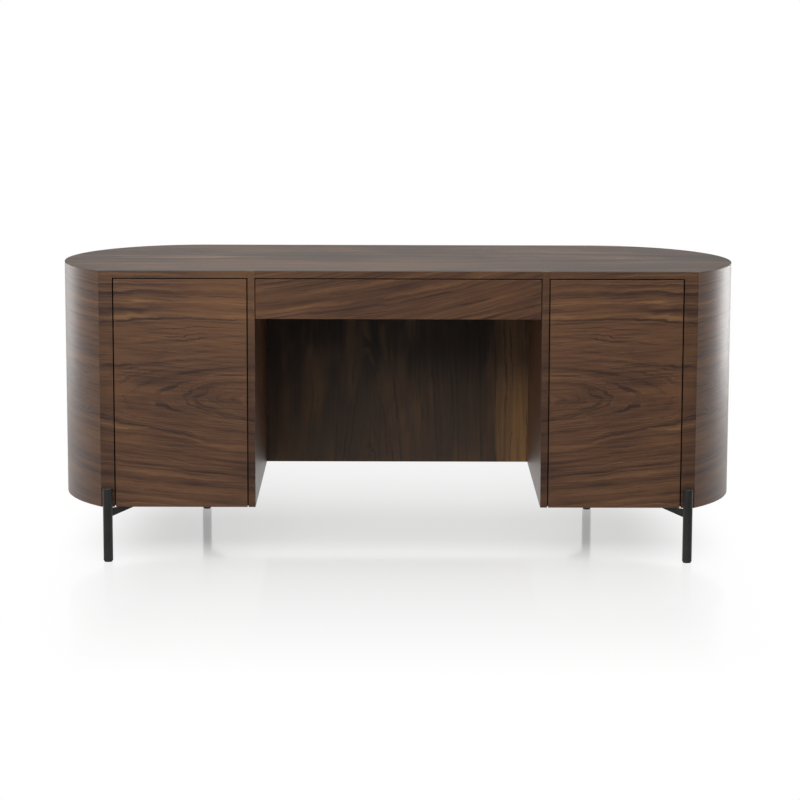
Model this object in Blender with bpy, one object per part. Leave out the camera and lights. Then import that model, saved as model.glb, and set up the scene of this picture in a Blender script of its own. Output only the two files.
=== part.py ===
"""Executive desk: a veneered casing with rounded ends, a knee-hole, two cupboards and one drawer.

The frame is +Z up, with +X to the user's right. The user sits on the -Y side. The origin is on the
floor, under the middle of the desk. All lengths are in metres.
"""

import bpy
import bmesh
from math import acos, asin, atan2, cos, hypot, pi, radians, sin, sqrt
from mathutils import Matrix, Vector
from mathutils.geometry import convex_hull_2d


# Overall size

desk_width = 1.785
desk_depth = 0.700
desk_height = 0.762
casing_bottom = 0.1425          # underside of the casing above the floor

# Boards and the gaps between pieces

board = 0.018                   # casing boards, doors and drawer front
seam = 0.0003                   # gap that stands for a closed joint between two pieces
reveal = 0.003                  # open gap round each door and over the drawer front
drawer_side_gap = 0.002         # at the ends of the drawer front
eased_edge = 0.0006             # chamfer on the edges of doors and drawer front
overrun = 0.004                 # how far a cutter runs past the face that it opens

# Rounded ends: an ellipse in plan that runs smoothly into the flat back

end_reach = 0.360               # half axis along the width
end_depth_share = 0.575         # half axis along the depth, of the desk's depth

# Front

stile_width = 0.035             # flat strip between the crease and the door opening
knee_width_share = 0.4168       # knee-hole's clear width, of the desk's width
drawer_front_height = 0.103

# Cupboard fittings

door_stop_gap = 0.0025          # space for thin bumpers behind a closed door
shelf_height = 0.290            # cupboard floor to underside of the shelf
shelf_setback = 0.006           # behind the cupboard floor's front edge
shelf_play = 0.001
shelf_pin_radius = 0.0025
shelf_pin_depth = 0.008         # length of a pin inside the board, and the same outside it
shelf_pin_setback = 0.050       # from the shelf's front edge, and from the hinge side's rear edge
shelf_collar_radius = 0.004
shelf_collar = 0.001
shelf_hole_pitch = 0.032
shelf_hole_count = 5

# Concealed hinges: setback from the door's hinge edge, depth from the door's front face

hinge_end_distance = 0.085      # from the door's top and bottom edges
arm_pin_setback = 0.033
arm_pin_depth = 0.0345
cup_pin_setback = 0.0115
cup_pin_depth = 0.0145
hinge_pin_radius = 0.0015
hinge_pin_play = 0.0001
link_bow = 0.0135
link_thickness = 0.0024
link_width = 0.010
link_eye_radius = 0.0028
cup_setback = 0.0225
cup_radius = 0.0175             # bore in the door
cup_depth = 0.0115
cup_wall = 0.0008
cup_floor = 0.001
flange_thickness = 0.001
flange_width = 0.024
flange_length = 0.052
flange_screw_spread = 0.0215    # from the cup's centre, up and down
cheek_thickness = 0.0016
cheek_eye_radius = 0.0042
cheek_root_radius = 0.005
cheek_root_setback = 0.0042
cheek_root_depth = 0.058
arm_block_width = 0.016
arm_block_depth = 0.052         # where the block starts
arm_block_length = 0.042
arm_block_thickness = 0.0118
arm_screw_shares = (0.28, 0.78)  # shares of the block's length

# Screw holes

screw_hole_radius = 0.002
pilot_depth = 0.0115            # in the wooden boards

# Legs

leg_radius = 0.0125
leg_top = 0.194
leg_chamfer = 0.001
front_leg_inset = 0.018         # from the crease towards the middle of the desk
back_leg_offset = 0.0135        # outwards from the start of the bent end
glide = 0.003
glide_radius = 0.0105
glide_stem = 0.012
glide_stem_radius = 0.004
web_angle = radians(35)         # between the web and the desk's front
web_drop = 0.0013               # web's top edge below the casing
web_depth = 0.0217              # height of the web where it meets the leg
web_length = 0.0765
web_thickness = 0.005
plate_start = 0.032             # from the leg's centre, along the width
plate_length = 0.060
plate_setback = 0.022           # behind the casing's face
plate_width = 0.053
plate_thickness = 0.003
plate_screw_shares = ((0.20, 0.55), (0.80, 0.80), (0.90, 0.15))  # of the plate's length and width

# Drawer and runners

runner_space = 0.0127           # between knee-hole side and drawer box
runner_height = 0.045
runner_sheet = 0.0012
runner_channel = 0.0088         # outside depth of each channel
runner_length = 0.400
runner_setback = 0.004          # behind the drawer front's back
drawer_board = 0.012
drawer_box_depth = 0.420
drawer_box_height = 0.076
drawer_box_lift = 0.014         # underside of the box above the front's lower edge
drawer_bottom = 0.006
groove_depth = 0.005
groove_lift = 0.010
front_screw_shares = (0.12, 0.88)   # shares of the box front's length
front_screw_lifts = (0.024, 0.058)  # heights above the box's underside

# Facets of the curves

end_facets = 48
leg_facets = 32
round_facets = 24
small_facets = 12
smooth_angle = radians(30)      # faces that meet at less are shaded as one


# Places that follow from the sizes above

front_y = -desk_depth / 2
back_y = desk_depth / 2
rail_back_y = front_y + board
floor_front_y = rail_back_y + door_stop_gap
end_depth = desk_depth * end_depth_share
end_centre_x = desk_width / 2 - end_reach
end_centre_y = back_y - end_depth
board_underside = desk_height - board
mitre_drop = seam * sqrt(2)     # level drop that opens one seam across a mitre of 45 degrees
floor_top = casing_bottom + board
knee_half_width = desk_width * knee_width_share / 2
gable_outer = knee_half_width + board
door_free_edge = gable_outer + reveal
door_top = board_underside - reveal
drawer_low = door_top - drawer_front_height

right = Vector((1, 0, 0))
back = Vector((0, 1, 0))
up = Vector((0, 0, 1))
sides = {"left": -1, "right": 1}


# Finishes: colour, roughness and metallic value

finishes = {
    "walnut_veneer": ((0.110, 0.062, 0.036), 0.42, 0),
    "dark_walnut_veneer": ((0.070, 0.040, 0.024), 0.45, 0),
    "birch_plywood": ((0.480, 0.340, 0.200), 0.55, 0),
    "charcoal_powder_coat": ((0.030, 0.029, 0.029), 0.45, 0),
    "nickelled_steel": ((0.560, 0.550, 0.530), 0.30, 1),
    "zinc_plated_steel": ((0.480, 0.480, 0.490), 0.38, 1),
    "black_nylon": ((0.020, 0.020, 0.020), 0.60, 0),
}


# Shapes

def loft(loops):
    """Closed solid through loops of equal point counts, capped at the first and the last."""
    shape = bmesh.new()
    rings = [[shape.verts.new(point) for point in loop] for loop in loops]
    for ring, following in zip(rings, rings[1:]):
        for i, corner in enumerate(ring):
            j = (i + 1) % len(ring)
            shape.faces.new((corner, ring[j], following[j], following[i]))
    shape.faces.new(rings[0])
    shape.faces.new(rings[-1])
    bmesh.ops.recalc_face_normals(shape, faces=shape.faces)
    return shape


def prism(outline, start, end, axis="z"):
    """Closed outline in the plane across an axis, extruded from start to end along that axis."""
    place = {
        "x": lambda a, b, c: Vector((c, a, b)),
        "y": lambda a, b, c: Vector((a, c, b)),
        "z": lambda a, b, c: Vector((a, b, c)),
    }[axis]
    return loft([[place(a, b, c) for a, b in outline] for c in (start, end)])


def block(x_limits, y_limits, z_limits):
    """Box between three pairs of limits."""
    (x0, x1), (y0, y1) = x_limits, y_limits
    return prism([(x0, y0), (x1, y0), (x1, y1), (x0, y1)], *z_limits)


def turned(profile, point, direction, facets):
    """Solid of revolution. The profile lists radius and distance from a point along a direction."""
    place = Matrix.Translation(point) @ direction.to_track_quat("Z", "Y").to_matrix().to_4x4()
    angles = [2 * pi * i / facets for i in range(facets)]
    return loft([[place @ Vector((radius * cos(a), radius * sin(a), distance)) for a in angles]
                 for radius, distance in profile])


def rod(centre, direction, radius, length, facets=round_facets):
    """Round bar about its middle point."""
    return turned([(radius, -length / 2), (radius, length / 2)], centre, direction, facets)


def bore(mouth, direction, radius, depth, facets=small_facets):
    """Cutter for a round hole that goes in from a point on a face."""
    return turned([(radius, -overrun), (radius, depth)], mouth, direction, facets)


def strap(centre, radius, other_centre, other_radius):
    """Outline of a flat strap with two round ends."""
    rim = [point.xy + size * Vector((cos(2 * pi * i / round_facets), sin(2 * pi * i / round_facets)))
           for point, size in ((centre, radius), (other_centre, other_radius)) for i in range(round_facets)]
    return [rim[i] for i in convex_hull_2d(rim)]


def mirrored(shape, across):
    """The shape as it is for +1, or its mirror image across the desk's middle plane for -1."""
    if across < 0:
        bmesh.ops.scale(shape, verts=shape.verts, vec=(-1, 1, 1))
        bmesh.ops.reverse_faces(shape, faces=shape.faces)
    return shape


def gathered(shapes):
    """Several cutters or additions in one, as separate closed bodies."""
    whole = bmesh.new()
    for shape in shapes:
        carrier = bpy.data.meshes.new("carrier")
        shape.to_mesh(carrier)
        shape.free()
        whole.from_mesh(carrier)
        bpy.data.meshes.remove(carrier)
    return whole


# Objects

def clear_scene():
    """Remove what the scene holds."""
    for leftover in list(bpy.data.objects):
        bpy.data.objects.remove(leftover, do_unlink=True)


def link_object(name, data):
    """New object in the scene."""
    thing = bpy.data.objects.new(name, data)
    bpy.context.scene.collection.objects.link(thing)
    return thing


def object_from(name, shape):
    """New object that holds a shape."""
    mesh = bpy.data.meshes.new(name)
    shape.to_mesh(mesh)
    shape.free()
    return link_object(name, mesh)


def combine(thing, shape, operation):
    """Join a shape to an object, or cut it out of the object."""
    operand = object_from(thing.name + "_operand", shape)
    modifier = thing.modifiers.new("combine", "BOOLEAN")
    modifier.operation = operation
    modifier.solver = "EXACT"
    modifier.object = operand
    result = bpy.data.meshes.new_from_object(thing.evaluated_get(bpy.context.evaluated_depsgraph_get()))
    thing.modifiers.clear()
    thing.data = result
    bpy.data.objects.remove(operand, do_unlink=True)


def ease_edges(thing, width):
    """Take the sharp corner off every edge."""
    shape = bmesh.new()
    shape.from_mesh(thing.data)
    bmesh.ops.bevel(shape, geom=shape.edges[:], offset=width, segments=1, affect="EDGES")
    shape.to_mesh(thing.data)
    shape.free()


def give_finish(thing, finish):
    """Own material of an object, from the table of finishes."""
    colour, roughness, metallic = finishes[finish]
    material = bpy.data.materials.new(thing.name + "_" + finish)
    material.use_nodes = True
    shader = material.node_tree.nodes["Principled BSDF"]
    shader.inputs["Base Color"].default_value = (*colour, 1)
    shader.inputs["Roughness"].default_value = roughness
    shader.inputs["Metallic"].default_value = metallic
    thing.data.materials.clear()
    thing.data.materials.append(material)
    thing.data.shade_smooth()
    thing.data.set_sharp_from_angle(angle=smooth_angle)


def piece(name, finish, shape, across=1, joined=(), cuts=(), inserted=(), eased=0):
    """One sub-part of the desk, modelled on the right and mirrored where across is -1.

    Its first shape gets eased edges, then others are joined to it, cut out of it, and inserted.
    """
    thing = object_from(name, mirrored(shape, across))
    if eased:
        ease_edges(thing, eased)
    for group, operation in ((joined, "UNION"), (cuts, "DIFFERENCE"), (inserted, "UNION")):
        if group:
            combine(thing, mirrored(gathered(group), across), operation)
    give_finish(thing, finish)
    return thing


def hang(name, pivot, things):
    """Empty on a joint's axis, which carries the pieces that move about it."""
    carrier = link_object(name, None)
    carrier.location = pivot
    for thing in things:
        thing.data.transform(Matrix.Translation(-pivot))
        thing.parent = carrier


# Plan curve of the rounded ends

def end_normal(angle):
    """Outward normal of the right end's ellipse."""
    return Vector((cos(angle) / end_reach, sin(angle) / end_depth)).normalized()


def end_point(angle, inset=0):
    """Plan point of the right end, moved inwards along the normal by inset."""
    on_curve = Vector((end_centre_x + end_reach * cos(angle), end_centre_y + end_depth * sin(angle)))
    return on_curve - inset * end_normal(angle)


def end_line(inset, start, facets=end_facets):
    """Plan points of the right end, from an angle to the start of the flat back."""
    step = (pi / 2 - start) / facets
    return [end_point(start + step * i, inset) for i in range(facets + 1)]


def inset_reaching(angle, y):
    """Inset at which the normal at an angle reaches a depth."""
    return (end_point(angle).y - y) / end_normal(angle).y


def angle_where(value, low, high):
    """Angle between two limits at which a value changes sign."""
    below = value(low) < 0
    for _ in range(50):
        middle = (low + high) / 2
        if (value(middle) < 0) == below:
            low = middle
        else:
            high = middle
    return (low + high) / 2


crease_angle = asin((front_y - end_centre_y) / end_depth)
shell_start = crease_angle + seam / hypot(end_reach * sin(crease_angle), end_depth * cos(crease_angle))
stile_inner = end_point(crease_angle).x - stile_width
door_edge = stile_inner - reveal
side_outer = stile_inner + board
side_end_angle = angle_where(lambda a: end_point(a, board + seam).x - side_outer, 0, pi / 2)
side_end_y = end_point(side_end_angle, board + seam).y


# Top and outer casing

def whole_plan(right_half):
    """Plan outline from its right half, which is listed from front to back."""
    return right_half + [Vector((-p.x, p.y)) for p in reversed(right_half)]


def build_desktop():
    """Top board, mitred round the ends and the back, where it meets the upright boards."""
    corner = end_point(shell_start, inset_reaching(shell_start, rail_back_y + seam))
    loops = []
    for inset, height in ((board, board_underside), (0, desk_height)):
        plan = whole_plan([corner] + end_line(inset, shell_start))
        loops.append([Vector((p.x, p.y, height)) for p in plan])
    piece("desktop", "walnut_veneer", loft(loops))


def upright_section(outer, inner):
    """Section of an upright outer board, whose top edge is mitred to the desktop."""
    return [Vector((*outer, casing_bottom)),
            Vector((*outer, desk_height - mitre_drop)),
            Vector((*inner, board_underside - mitre_drop)),
            Vector((*inner, casing_bottom))]


def build_end_shells():
    """Bent boards that run from the crease at the front round to the flat back."""
    for side, across in sides.items():
        faces = zip(end_line(0, shell_start), end_line(board, shell_start))
        shell = loft([upright_section(outer, inner) for outer, inner in faces])
        piece(side + "_end_shell", "walnut_veneer", shell, across)


def build_back_panel():
    """Flat board between the bent ends. It also closes the knee-hole."""
    reach = end_centre_x - seam
    ends = [upright_section((x, back_y), (x, back_y - board)) for x in (-reach, reach)]
    piece("back_panel", "dark_walnut_veneer", loft(ends))


def build_stiles():
    """Flat front strips beside the doors, with the outer edge cut to meet the bent ends."""
    plan = [(stile_inner, front_y), end_point(crease_angle),
            end_point(crease_angle, inset_reaching(crease_angle, rail_back_y)), (stile_inner, rail_back_y)]
    for side, across in sides.items():
        piece(side + "_stile", "walnut_veneer", prism(plan, casing_bottom, desk_height), across)


def build_head_rails():
    """Strips above the doors and the drawer, between the upright front edges."""
    depth = (front_y, rail_back_y)
    height = (board_underside, desk_height)
    for side, across in sides.items():
        rail = block((gable_outer + seam, stile_inner - seam), depth, height)
        piece(side + "_door_head_rail", "walnut_veneer", rail, across)
    reach = knee_half_width - seam
    piece("drawer_head_rail", "walnut_veneer", block((-reach, reach), depth, height))


# Insides of the casing

shelf_front_y = floor_front_y + shelf_setback
shelf_low = floor_top + shelf_height
shelf_pin_height = shelf_low - seam - shelf_pin_radius
shelf_pin_depths = (shelf_front_y + shelf_pin_setback, side_end_y - shelf_pin_setback)


def shelf_holes(face, direction):
    """Cutters for two columns of shelf holes, which go into a board from one face."""
    heights = [shelf_pin_height + shelf_hole_pitch * (i - (shelf_hole_count - 1) / 2)
               for i in range(shelf_hole_count)]
    return [bore(Vector((face, y, z)), direction, shelf_pin_radius + seam, shelf_pin_depth + seam)
            for y in shelf_pin_depths for z in heights]


def build_gables():
    """Knee-hole sides. Their front edges run up past the desktop to the top face."""
    rear = back_y - board - seam
    under_top = board_underside - seam
    outline = [(front_y, casing_bottom), (rear, casing_bottom), (rear, under_top),
               (rail_back_y, under_top), (rail_back_y, desk_height), (front_y, desk_height)]
    for side, across in sides.items():
        gable = prism(outline, knee_half_width, gable_outer, "x")
        piece(side + "_gable", "walnut_veneer", gable, across, cuts=shelf_holes(gable_outer, -right))


def cupboard_plan(inner_x, front, clearance, outer_x=None):
    """Plan of a board that lies in a cupboard and follows the bent end at the back."""
    inset = board + clearance
    if outer_x is None:
        start = angle_where(lambda a: end_point(a, inset).y - front, crease_angle, 0)
        corner = []
    else:
        start = angle_where(lambda a: end_point(a, inset).x - outer_x, 0, pi / 2)
        corner = [(outer_x, front)]
    return [(inner_x, front)] + corner + end_line(inset, start) + [(inner_x, back_y - inset)]


def build_cupboard_floors():
    """Bottom boards of the cupboards, with holes for the screws of the legs' plates."""
    plan = cupboard_plan(gable_outer + seam, floor_front_y, seam)
    for side, across in sides.items():
        holes = [bore(Vector((place.x, place.y, casing_bottom)), up, screw_hole_radius, pilot_depth)
                 for leg in leg_places for place in plate_screw_places(*leg[1:])]
        floor = prism(plan, casing_bottom, floor_top)
        piece(side + "_cupboard_floor", "dark_walnut_veneer", floor, across, cuts=holes)


def build_hinge_sides():
    """Uprights flush with the stiles, which carry the hinges and one end of the shelves."""
    for side, across in sides.items():
        upright = block((stile_inner, side_outer), (rail_back_y + seam, side_end_y),
                        (floor_top + seam, board_underside - seam))
        holes = [bore(Vector((stile_inner, place.y, place.z)), right, screw_hole_radius, pilot_depth)
                 for height in hinge_heights.values() for place in arm_screw_places(height)]
        piece(side + "_hinge_side", "dark_walnut_veneer", upright, across,
              cuts=shelf_holes(stile_inner, right) + holes)


def build_shelves():
    """Loose shelves, each on four pins with a collar against the board."""
    plan = cupboard_plan(gable_outer + shelf_play, shelf_front_y, shelf_play, stile_inner - shelf_play)
    collar_height = shelf_pin_height + shelf_pin_radius - shelf_collar_radius
    for side, across in sides.items():
        piece(side + "_shelf", "dark_walnut_veneer", prism(plan, shelf_low, shelf_low + board), across)
        for wall, face, direction in (("gable", gable_outer, right), ("side", stile_inner, -right)):
            for end, y in zip(("front", "back"), shelf_pin_depths):
                pin = rod(Vector((face, y, shelf_pin_height)), right, shelf_pin_radius,
                          2 * shelf_pin_depth, small_facets)
                middle = Vector((face, y, collar_height)) + direction * (seam + shelf_collar / 2)
                collar = rod(middle, right, shelf_collar_radius, shelf_collar, small_facets)
                piece(side + "_" + wall + "_" + end + "_shelf_pin", "nickelled_steel", pin, across,
                      joined=[collar])


# Doors and concealed hinges

hinge_heights = {"lower": casing_bottom + hinge_end_distance, "upper": door_top - hinge_end_distance}
door_back = board + seam        # depth at which the fittings on the door's back start


def hinge_place(setback, depth, height=0):
    """Point of the right door's hinges, from its distances to the door's hinge edge and front face."""
    return Vector((door_edge - setback, front_y + depth, height))


def arm_screw_places(height):
    """Centres of the screw holes in a hinge arm, on its face towards the cupboard."""
    setback = arm_block_thickness - reveal + seam
    return [hinge_place(setback, arm_block_depth + share * arm_block_length, height)
            for share in arm_screw_shares]


def flange_screw_places(height):
    """Centres of the screw holes in a hinge cup's flange."""
    return [hinge_place(cup_setback, door_back + flange_thickness, height + offset)
            for offset in (-flange_screw_spread, flange_screw_spread)]


def build_hinge_arm(side, across, level, height):
    """Fixed arm: a block on the hinge side, with two cheeks that hold a pin."""
    foot = hinge_place(seam - reveal, arm_block_depth)
    base = block((foot.x - arm_block_thickness, foot.x), (foot.y, foot.y + arm_block_length),
                 (height - arm_block_width / 2, height + arm_block_width / 2))
    outline = strap(hinge_place(arm_pin_setback, arm_pin_depth), cheek_eye_radius,
                    hinge_place(cheek_root_setback, cheek_root_depth), cheek_root_radius)
    inner = link_width / 2 + seam
    cheeks = [prism(outline, start, start + cheek_thickness)
              for start in (height - inner - cheek_thickness, height + inner)]
    pin = rod(hinge_place(arm_pin_setback, arm_pin_depth, height), up, hinge_pin_radius,
              2 * inner + cheek_thickness)
    holes = [bore(place, right, screw_hole_radius, arm_block_thickness + overrun)
             for place in arm_screw_places(height)]
    piece(side + "_" + level + "_hinge_arm", "nickelled_steel", base, across,
          joined=cheeks, cuts=holes, inserted=[pin])


def build_hinge_link(side, across, level, height):
    """Bent link between the arm's pin and the cup's pin. It hangs on the arm's pin."""
    arm_pin = hinge_place(arm_pin_setback, arm_pin_depth).xy
    cup_pin = hinge_place(cup_pin_setback, cup_pin_depth).xy
    chord = arm_pin - cup_pin
    bow_radius = (chord.length ** 2 / 4 + link_bow ** 2) / (2 * link_bow)
    outward = Vector((-chord.y, chord.x)).normalized()
    centre = (arm_pin + cup_pin) / 2 + (link_bow - bow_radius) * outward
    middle = atan2(outward.y, outward.x)
    half_sweep = acos((bow_radius - link_bow) / bow_radius)
    steps = [middle + half_sweep * (2 * i / round_facets - 1) for i in range(round_facets + 1)]
    rim = [centre + (bow_radius + link_thickness / 2) * Vector((cos(a), sin(a))) for a in steps]
    rim += [centre + (bow_radius - link_thickness / 2) * Vector((cos(a), sin(a))) for a in reversed(steps)]
    band = prism(rim, height - link_width / 2, height + link_width / 2)
    ends = [Vector((*pin, height)) for pin in (arm_pin, cup_pin)]
    eyes = [rod(end, up, link_eye_radius, link_width) for end in ends]
    holes = [rod(end, up, hinge_pin_radius + hinge_pin_play, link_width + overrun) for end in ends]
    link = piece(side + "_" + level + "_hinge_link", "nickelled_steel", band, across,
                 joined=eyes, cuts=holes)
    hang(side + "_" + level + "_link_pivot", Vector((across * arm_pin.x, arm_pin.y, height)), [link])


def build_hinge_cup(side, across, level, height):
    """Round cup with a flange on the door's back and a pin across its hollow."""
    outer = cup_radius - seam
    inner = outer - cup_wall
    low = board - cup_depth + seam
    top = door_back + flange_thickness
    body = turned([(outer, low), (outer, top)], hinge_place(cup_setback, 0, height), back, round_facets)
    x, y = hinge_place(cup_setback, door_back).xy
    flange = block((x - flange_width / 2, x + flange_width / 2), (y, y + flange_thickness),
                   (height - flange_length / 2, height + flange_length / 2))
    hollow = bore(hinge_place(cup_setback, top, height), -back, inner, top - low - cup_floor, round_facets)
    holes = [bore(place, -back, screw_hole_radius, flange_thickness + overrun)
             for place in flange_screw_places(height)]
    pin_side = cup_setback - cup_pin_setback + hinge_pin_radius
    pin_reach = sqrt(outer ** 2 - pin_side ** 2)
    pin = rod(hinge_place(cup_pin_setback, cup_pin_depth, height), up, hinge_pin_radius, 2 * pin_reach)
    return piece(side + "_" + level + "_hinge_cup", "nickelled_steel", body, across,
                 joined=[flange], cuts=[hollow] + holes, inserted=[pin])


def build_doors():
    """Both doors with their hinges. A door turns on the pins of its hinge cups."""
    leaf = ((door_free_edge, door_edge), (front_y, rail_back_y), (casing_bottom, door_top))
    for side, across in sides.items():
        bores, hung = [], []
        for level, height in hinge_heights.items():
            build_hinge_arm(side, across, level, height)
            build_hinge_link(side, across, level, height)
            hung.append(build_hinge_cup(side, across, level, height))
            bores.append(bore(hinge_place(cup_setback, board, height), -back, cup_radius, cup_depth,
                              round_facets))
            bores += [bore(Vector((place.x, rail_back_y, place.z)), -back, screw_hole_radius, pilot_depth)
                      for place in flange_screw_places(height)]
        hung.append(piece(side + "_door", "walnut_veneer", block(*leaf), across, cuts=bores,
                          eased=eased_edge))
        pivot = hinge_place(cup_pin_setback, cup_pin_depth, hinge_heights["upper"])
        hang(side + "_door_pivot", Vector((across * pivot.x, pivot.y, pivot.z)), hung)


# Legs

plate_under = casing_bottom - seam - plate_thickness
front_leg_reach = end_point(crease_angle).x - front_leg_inset   # from the middle of the desk
back_leg_reach = end_centre_x + back_leg_offset
leg_places = (("front", front_leg_reach, front_y, 1), ("back", back_leg_reach, back_y, -1))


def leg_centre(reach, face, inwards):
    """Centre of a leg, which stands just outside the casing's face."""
    return Vector((reach, face - inwards * (leg_radius + seam), 0))


def plate_screw_places(reach, face, inwards):
    """Centres of the screw holes in a leg's plate, on its underside."""
    return [Vector((reach - plate_start - along * plate_length,
                    face + inwards * (plate_setback + behind * plate_width), plate_under))
            for along, behind in plate_screw_shares]


def build_legs():
    """Round legs, each welded to a slanting web and to a plate under the cupboard floor."""
    web_top = casing_bottom - web_drop
    web_end = leg_radius + web_length
    outline = [(0, web_top), (0, web_top - web_depth), (leg_radius, web_top - web_depth),
               (web_end, plate_under + plate_thickness / 2), (web_end, web_top)]
    low = glide + seam
    for end, reach, face, inwards in leg_places:
        foot = leg_centre(reach, face, inwards)
        plate_y = sorted((face + inwards * plate_setback, face + inwards * (plate_setback + plate_width)))
        for side, across in sides.items():
            post = turned([(leg_radius, low), (leg_radius, leg_top - leg_chamfer),
                           (leg_radius - leg_chamfer, leg_top)], foot, up, leg_facets)
            web = prism(outline, -web_thickness / 2, web_thickness / 2, "y")
            turn = Matrix.Rotation(pi - inwards * web_angle, 4, "Z")
            bmesh.ops.transform(web, verts=web.verts, matrix=Matrix.Translation(foot) @ turn)
            plate = block((reach - plate_start - plate_length, reach - plate_start), plate_y,
                          (plate_under, casing_bottom - seam))
            holes = [bore(place, up, screw_hole_radius, plate_thickness + overrun)
                     for place in plate_screw_places(reach, face, inwards)]
            socket = bore(foot + up * low, up, glide_stem_radius + seam, glide_stem, round_facets)
            leg = piece(end + "_" + side + "_leg", "charcoal_powder_coat", post, across, joined=[web])
            combine(leg, mirrored(plate, across), "UNION")
            combine(leg, mirrored(gathered(holes + [socket]), across), "DIFFERENCE")


def build_glides():
    """Nylon glides pressed into the feet of the legs."""
    profile = [(glide_radius, 0), (glide_radius, glide), (glide_stem_radius, glide),
               (glide_stem_radius, glide + glide_stem)]
    for end, reach, face, inwards in leg_places:
        for side, across in sides.items():
            body = turned(profile, leg_centre(reach, face, inwards), up, round_facets)
            piece(end + "_" + side + "_glide", "black_nylon", body, across)


# Drawer

box_front_y = rail_back_y + seam
box_low = drawer_low + drawer_box_lift
box_top = box_low + drawer_box_height
box_outer = knee_half_width - runner_space
box_inner = box_outer - drawer_board
groove = (box_low + groove_lift, box_low + groove_lift + drawer_bottom + 2 * seam)


def front_screw_places():
    """Centres of the screw holes in the box front, on its face towards the box."""
    y = box_front_y + drawer_board
    return [Vector(((2 * share - 1) * box_inner, y, box_low + lift))
            for share in front_screw_shares for lift in front_screw_lifts]


def grooved_section(outer, inner, outwards):
    """Section of a box board, with a groove for the bottom in its inner face."""
    deep = inner + outwards * groove_depth
    return [(outer, box_low), (outer, box_top), (inner, box_top), (inner, groove[1]), (deep, groove[1]),
            (deep, groove[0]), (inner, groove[0]), (inner, box_low)]


def build_drawer():
    """Plywood box behind a veneered front, with its bottom held in grooves."""
    reach = knee_half_width - drawer_side_gap
    leaf = block((-reach, reach), (front_y, rail_back_y), (drawer_low, door_top))
    holes = [bore(Vector((place.x, rail_back_y, place.z)), -back, screw_hole_radius, pilot_depth)
             for place in front_screw_places()]
    pieces = [piece("drawer_front", "walnut_veneer", leaf, cuts=holes, eased=eased_edge)]

    rear = box_front_y + drawer_box_depth
    for side, across in sides.items():
        wall = prism(grooved_section(box_outer, box_inner, 1), box_front_y, rear, "y")
        pieces.append(piece("drawer_" + side + "_side", "birch_plywood", wall, across))

    inside = box_front_y + drawer_board
    span = box_inner - seam
    wall = prism(grooved_section(box_front_y, inside, -1), -span, span, "x")
    through = [bore(place, -back, screw_hole_radius, drawer_board + overrun)
               for place in front_screw_places()]
    pieces.append(piece("drawer_box_front", "birch_plywood", wall, cuts=through))

    panel = (groove[0] + seam, groove[1] - seam)
    panel_reach = box_inner + groove_depth - seam
    bottom = block((-panel_reach, panel_reach), (inside - groove_depth + seam, rear), panel)
    pieces.append(piece("drawer_bottom", "birch_plywood", bottom))
    box_back = block((-span, span), (rear - drawer_board, rear), (panel[1] + seam, box_top))
    pieces.append(piece("drawer_back", "birch_plywood", box_back))
    return pieces


def build_runners(drawer_pieces):
    """Telescopic runners of three nested channels each. The middle ones move half as far."""
    start = rail_back_y + runner_setback
    middle_z = (box_low + box_top) / 2
    step = runner_sheet + seam
    channels = {
        "cabinet": (knee_half_width - seam, -1, runner_height / 2),
        "middle": (knee_half_width - seam - step, -1, runner_height / 2 - step),
        "drawer": (box_outer + seam, 1, runner_height / 2 - 2 * step),
    }
    made = {name: [] for name in channels}
    for side, across in sides.items():
        for name, (web_x, opening, half_height) in channels.items():
            tip = web_x + opening * runner_channel
            inner = web_x + opening * runner_sheet
            low, high = middle_z - half_height, middle_z + half_height
            section = [(web_x, low), (tip, low), (tip, low + runner_sheet), (inner, low + runner_sheet),
                       (inner, high - runner_sheet), (tip, high - runner_sheet), (tip, high), (web_x, high)]
            channel = prism(section, start, start + runner_length, "y")
            made[name].append(piece(side + "_runner_" + name + "_channel", "zinc_plated_steel",
                                    channel, across))
    hang("drawer_slide", Vector((0, start, middle_z)), drawer_pieces + made["drawer"])
    hang("runner_slide", Vector((0, start, middle_z)), made["middle"])


clear_scene()
build_desktop()
build_end_shells()
build_back_panel()
build_stiles()
build_head_rails()
build_gables()
build_cupboard_floors()
build_hinge_sides()
build_shelves()
build_doors()
build_legs()
build_glides()
build_runners(build_drawer())
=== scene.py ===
from math import pi, radians

import bmesh
import bpy
from mathutils import Matrix, Vector


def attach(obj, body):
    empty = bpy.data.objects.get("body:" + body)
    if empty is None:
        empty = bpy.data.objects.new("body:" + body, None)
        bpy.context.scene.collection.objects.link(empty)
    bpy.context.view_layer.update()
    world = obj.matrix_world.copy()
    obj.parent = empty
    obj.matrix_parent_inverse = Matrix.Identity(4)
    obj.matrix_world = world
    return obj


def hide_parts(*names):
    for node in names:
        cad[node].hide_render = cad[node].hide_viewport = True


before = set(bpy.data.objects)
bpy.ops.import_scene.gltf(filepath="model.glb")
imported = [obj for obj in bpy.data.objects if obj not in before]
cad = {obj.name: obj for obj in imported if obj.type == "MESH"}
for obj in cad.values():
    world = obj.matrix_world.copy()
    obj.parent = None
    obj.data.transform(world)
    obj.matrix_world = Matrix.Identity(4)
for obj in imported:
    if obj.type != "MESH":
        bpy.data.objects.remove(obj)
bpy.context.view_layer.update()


# Viewpoint. The desk stands square to a camera with a long lens, 7.4 m away at standing eye height,
# which looks down by about nine degrees. Uprights hardly converge.

camera_place = (-0.0269, -7.4262, 1.5261)
turned_right, looking_down, rolled = 0.00446, 0.15414, 0.0030       # radians
lens, film_width = 124.0, 36.0                                      # millimetres

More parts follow.
